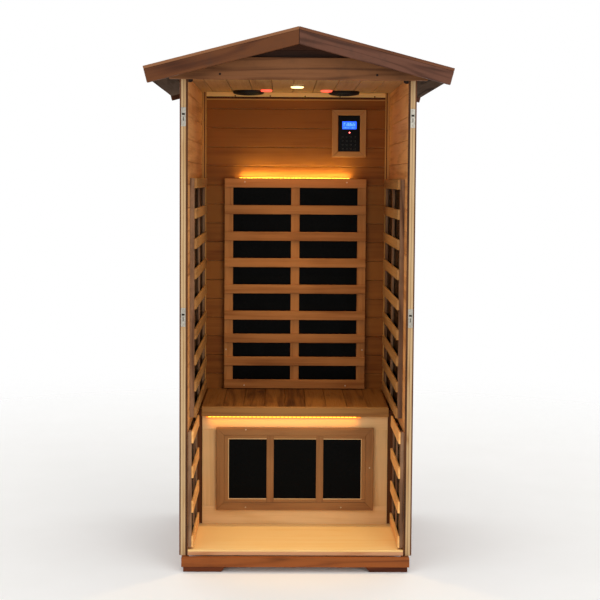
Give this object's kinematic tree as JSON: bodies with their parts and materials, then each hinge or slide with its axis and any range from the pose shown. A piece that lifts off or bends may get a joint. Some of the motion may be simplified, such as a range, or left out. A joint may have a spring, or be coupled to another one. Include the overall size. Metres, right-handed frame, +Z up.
{
  "type": "outdoor infrared sauna cabin",
  "caption": "One-person outdoor infrared sauna cabin with a gabled roof, open at the front, with a bench, slatted heater grilles, control panel and lamps.",
  "frame": {"origin": "on the ground under the middle of the roof, which is also the middle of the cabin's depth", "axes": "+Z up, the open front faces -Y, +X to the right seen from the front, the roof ridge runs along Y"},
  "size_m": [1.154, 1.087, 2.0781],
  "materials": {
    "base_wood": "reddish brown stained softwood, satin",
    "bench_wood": "light tan cedar, satin",
    "control_black": "black glossy control face",
    "floor_wood": "pale orange pine, satin",
    "foot_wood": "dark brown stained softwood",
    "frame_wood": "bare pale pine",
    "grille_wood": "brown cedar slats, satin",
    "header_wood": "mid brown cedar, satin",
    "heater_black": "black carbon heater film under a dull protective sheet",
    "latch_metal": "zinc plated sheet",
    "lining_wood": "orange brown cedar tongue and groove boards, satin",
    "red_light": "red light diffuser",
    "seat_wood": "mid brown cedar, satin",
    "soffit_wood": "grey brown weathered softwood boards",
    "speaker_black": "black speaker grille",
    "stained_wood": "reddish brown stained cedar, satin",
    "warm_light": "warm white light diffuser"
  },
  "bodies": {
    "root": {"back_gable_board": "stained_wood", "back_heater_grille": "grille_wood", "back_heater_panel": "heater_black", "back_left_barge": "stained_wood", "back_left_foot": "foot_wood", "back_light_strip": "warm_light", "back_right_barge": "stained_wood", "back_right_foot": "foot_wood", "back_wall_cladding": "stained_wood", "back_wall_frame": "frame_wood", "back_wall_lining": "lining_wood", "base_frame": "base_wood", "bench_front_panel": "bench_wood", "bench_front_trim": "seat_wood", "bench_light_strip": "warm_light", "bench_seat": "seat_wood", "calf_heater_frame": "grille_wood", "calf_heater_panel": "heater_black", "ceiling_back_trim": "lining_wood", "ceiling_lamp": "warm_light", "ceiling_panel": "lining_wood", "control_frame": "bench_wood", "control_unit": "control_black", "floor_boards": "floor_wood", "floor_frame": "base_wood", "front_gable_board": "stained_wood", "front_header_board": "header_wood", "front_left_barge": "stained_wood", "front_left_foot": "foot_wood", "front_right_barge": "stained_wood", "front_right_foot": "foot_wood", "left_corner_trim": "lining_wood", "left_leg_heater_grille": "grille_wood", "left_leg_heater_panel": "heater_black", "left_red_lamp": "red_light", "left_roof_cap": "stained_wood", "left_roof_panel": "soffit_wood", "left_side_heater_grille": "grille_wood", "left_side_heater_panel": "heater_black", "left_speaker": "speaker_black", "left_wall_cladding": "stained_wood", "left_wall_frame": "frame_wood", "left_wall_lining": "lining_wood", "lower_left_latch_plate": "latch_metal", "lower_right_latch_plate": "latch_metal", "right_corner_trim": "lining_wood", "right_leg_heater_grille": "grille_wood", "right_leg_heater_panel": "heater_black", "right_red_lamp": "red_light", "right_roof_cap": "stained_wood", "right_roof_panel": "soffit_wood", "right_side_heater_grille": "grille_wood", "right_side_heater_panel": "heater_black", "right_speaker": "speaker_black", "right_wall_cladding": "stained_wood", "right_wall_frame": "frame_wood", "right_wall_lining": "lining_wood", "upper_left_latch_plate": "latch_metal", "upper_right_latch_plate": "latch_metal"}
  },
  "joints": []
}
